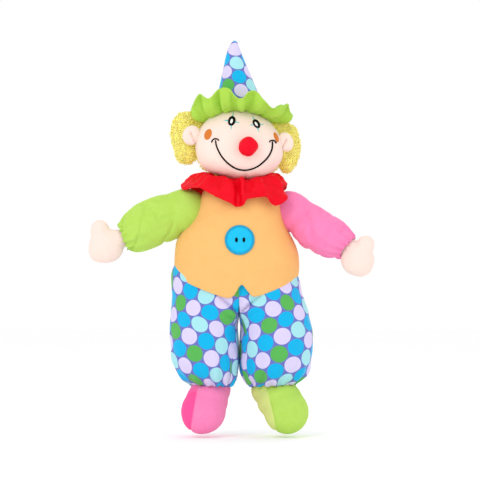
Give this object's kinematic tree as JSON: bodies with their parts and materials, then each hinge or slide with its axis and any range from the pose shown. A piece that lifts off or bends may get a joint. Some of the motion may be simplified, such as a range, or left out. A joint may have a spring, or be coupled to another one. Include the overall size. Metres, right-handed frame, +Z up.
{
  "type": "hand puppet",
  "caption": "Full-body clown hand puppet: stuffed head with cone hat and ruffles, vest with a hand opening in the back, movable arms, legs, hands and shoes.",
  "frame": {"origin": "middle of the hand opening in the puppet's lower back, on the surface of the back", "axes": "+Z up through the head, -Y the way the puppet faces, +X towards the puppet's left hand"},
  "size_m": [0.3342, 0.121, 0.4497],
  "materials": {
    "vest": "orange velour, short pile",
    "lining": "plain woven cotton",
    "stuffing": "polyester fibre filling",
    "collar": "red shiny velour, gathered",
    "button": "felt patch with a satin-stitched rim",
    "thread": "black embroidery thread",
    "trousers": "printed plush with large dots",
    "skin": "peach velour",
    "hair": "yellow curly pile",
    "nose": "red velour",
    "cheek": "orange satin stitch",
    "eye": "white felt with black stitched ring",
    "hat": "printed plush with large dots",
    "hat_ruffle": "lime velour, gathered",
    "lime": "lime velour",
    "pink": "pink velour",
    "elastic": "thin elastic thread"
  },
  "bodies": {
    "torso": {"vest_front": "vest", "vest_back": "vest", "belly_stuffing": "stuffing", "hand_lining": "lining", "opening_binding": "vest", "collar_band": "collar", "collar_ruffle": "collar", "button": "button", "button_stitch_right": "thread", "button_stitch_left": "thread", "trouser_seat": "trousers", "seat_stuffing": "stuffing"},
    "neck": {"neck_tube": "skin"},
    "head": {"face_panel": "skin", "head_back": "hair", "head_stuffing": "stuffing", "ear_right": "skin", "ear_left": "skin", "hair_right": "hair", "hair_left": "hair", "eye_right": "eye", "eye_left": "eye", "cheek_right": "cheek", "cheek_left": "cheek", "mouth": "thread", "nose": "nose", "hat_cone": "hat", "hat_stuffing": "stuffing", "hat_ruffle": "hat_ruffle"},
    "right_sleeve_head": {"sleeve_head_right": "lime"},
    "right_arm": {"sleeve_right": "lime", "arm_stuffing_right": "stuffing", "cuff_elastic_right": "elastic"},
    "right_hand": {"hand_right": "skin", "hand_stuffing_right": "stuffing"},
    "left_sleeve_head": {"sleeve_head_left": "pink"},
    "left_arm": {"sleeve_left": "pink", "arm_stuffing_left": "stuffing", "cuff_elastic_left": "elastic"},
    "left_hand": {"hand_left": "skin", "hand_stuffing_left": "stuffing"},
    "right_leg": {"trouser_leg_right": "trousers", "leg_stuffing_right": "stuffing", "ankle_elastic_right": "elastic"},
    "right_shoe": {"shoe_upper_right": "pink", "shoe_sole_right": "pink", "shoe_stuffing_right": "stuffing"},
    "left_leg": {"trouser_leg_left": "trousers", "leg_stuffing_left": "stuffing", "ankle_elastic_left": "elastic"},
    "left_shoe": {"shoe_upper_left": "lime", "shoe_sole_left": "lime", "shoe_stuffing_left": "stuffing"}
  },
  "joints": [
    {"name": "head_turn", "type": "hinge", "parent": "torso", "child": "neck", "pos_m": [0, -0.0462, 0.103], "axis": [0, 0, 1], "range_deg": [-45, 40], "stiffness_Nm_per_rad": 0.35},
    {"name": "head_nod", "type": "hinge", "parent": "neck", "child": "head", "pos_m": [0, -0.0462, 0.133], "axis": [1, 0, 0], "range_deg": [-18, 18], "stiffness_Nm_per_rad": 0.6},
    {"name": "right_arm_swing", "type": "hinge", "parent": "torso", "child": "right_sleeve_head", "pos_m": [-0.06, -0.0462, 0.057], "axis": [0, 0, 1], "range_deg": [-15, 50], "stiffness_Nm_per_rad": 0.15},
    {"name": "right_arm_raise", "type": "hinge", "parent": "right_sleeve_head", "child": "right_arm", "pos_m": [-0.06, -0.0462, 0.057], "axis": [0, 1, 0], "range_deg": [-14, 60], "stiffness_Nm_per_rad": 0.15},
    {"name": "right_wrist_bend", "type": "hinge", "parent": "right_arm", "child": "right_hand", "pos_m": [-0.13812, -0.0462, 0.02544], "axis": [0, 1, 0], "range_deg": [-25, 24], "stiffness_Nm_per_rad": 0.05},
    {"name": "left_arm_swing", "type": "hinge", "parent": "torso", "child": "left_sleeve_head", "pos_m": [0.06, -0.0462, 0.057], "axis": [0, 0, -1], "range_deg": [-33, 32], "stiffness_Nm_per_rad": 0.15},
    {"name": "left_arm_raise", "type": "hinge", "parent": "left_sleeve_head", "child": "left_arm", "pos_m": [0.06, -0.0462, 0.057], "axis": [-0.309, -0.9511, 0], "range_deg": [-8, 66], "stiffness_Nm_per_rad": 0.15},
    {"name": "left_wrist_bend", "type": "hinge", "parent": "left_arm", "child": "left_hand", "pos_m": [0.12868, -0.06852, 0.01361], "axis": [-0.309, -0.9511, 0], "range_deg": [-14, 24], "stiffness_Nm_per_rad": 0.05},
    {"name": "right_leg_swing", "type": "hinge", "parent": "torso", "child": "right_leg", "pos_m": [-0.0405, -0.0462, -0.069], "axis": [-1, 0, 0], "range_deg": [-18, 84], "stiffness_Nm_per_rad": 0.3},
    {"name": "right_ankle_bend", "type": "hinge", "parent": "right_leg", "child": "right_shoe", "pos_m": [-0.037, -0.0462, -0.146], "axis": [-1, 0, 0], "range_deg": [-12, 15], "stiffness_Nm_per_rad": 0.12},
    {"name": "left_leg_swing", "type": "hinge", "parent": "torso", "child": "left_leg", "pos_m": [0.0405, -0.0462, -0.069], "axis": [-1, 0, 0], "range_deg": [-18, 84], "stiffness_Nm_per_rad": 0.3},
    {"name": "left_ankle_bend", "type": "hinge", "parent": "left_leg", "child": "left_shoe", "pos_m": [0.037, -0.0462, -0.146], "axis": [-1, 0, 0], "range_deg": [-12, 15], "stiffness_Nm_per_rad": 0.12}
  ]
}
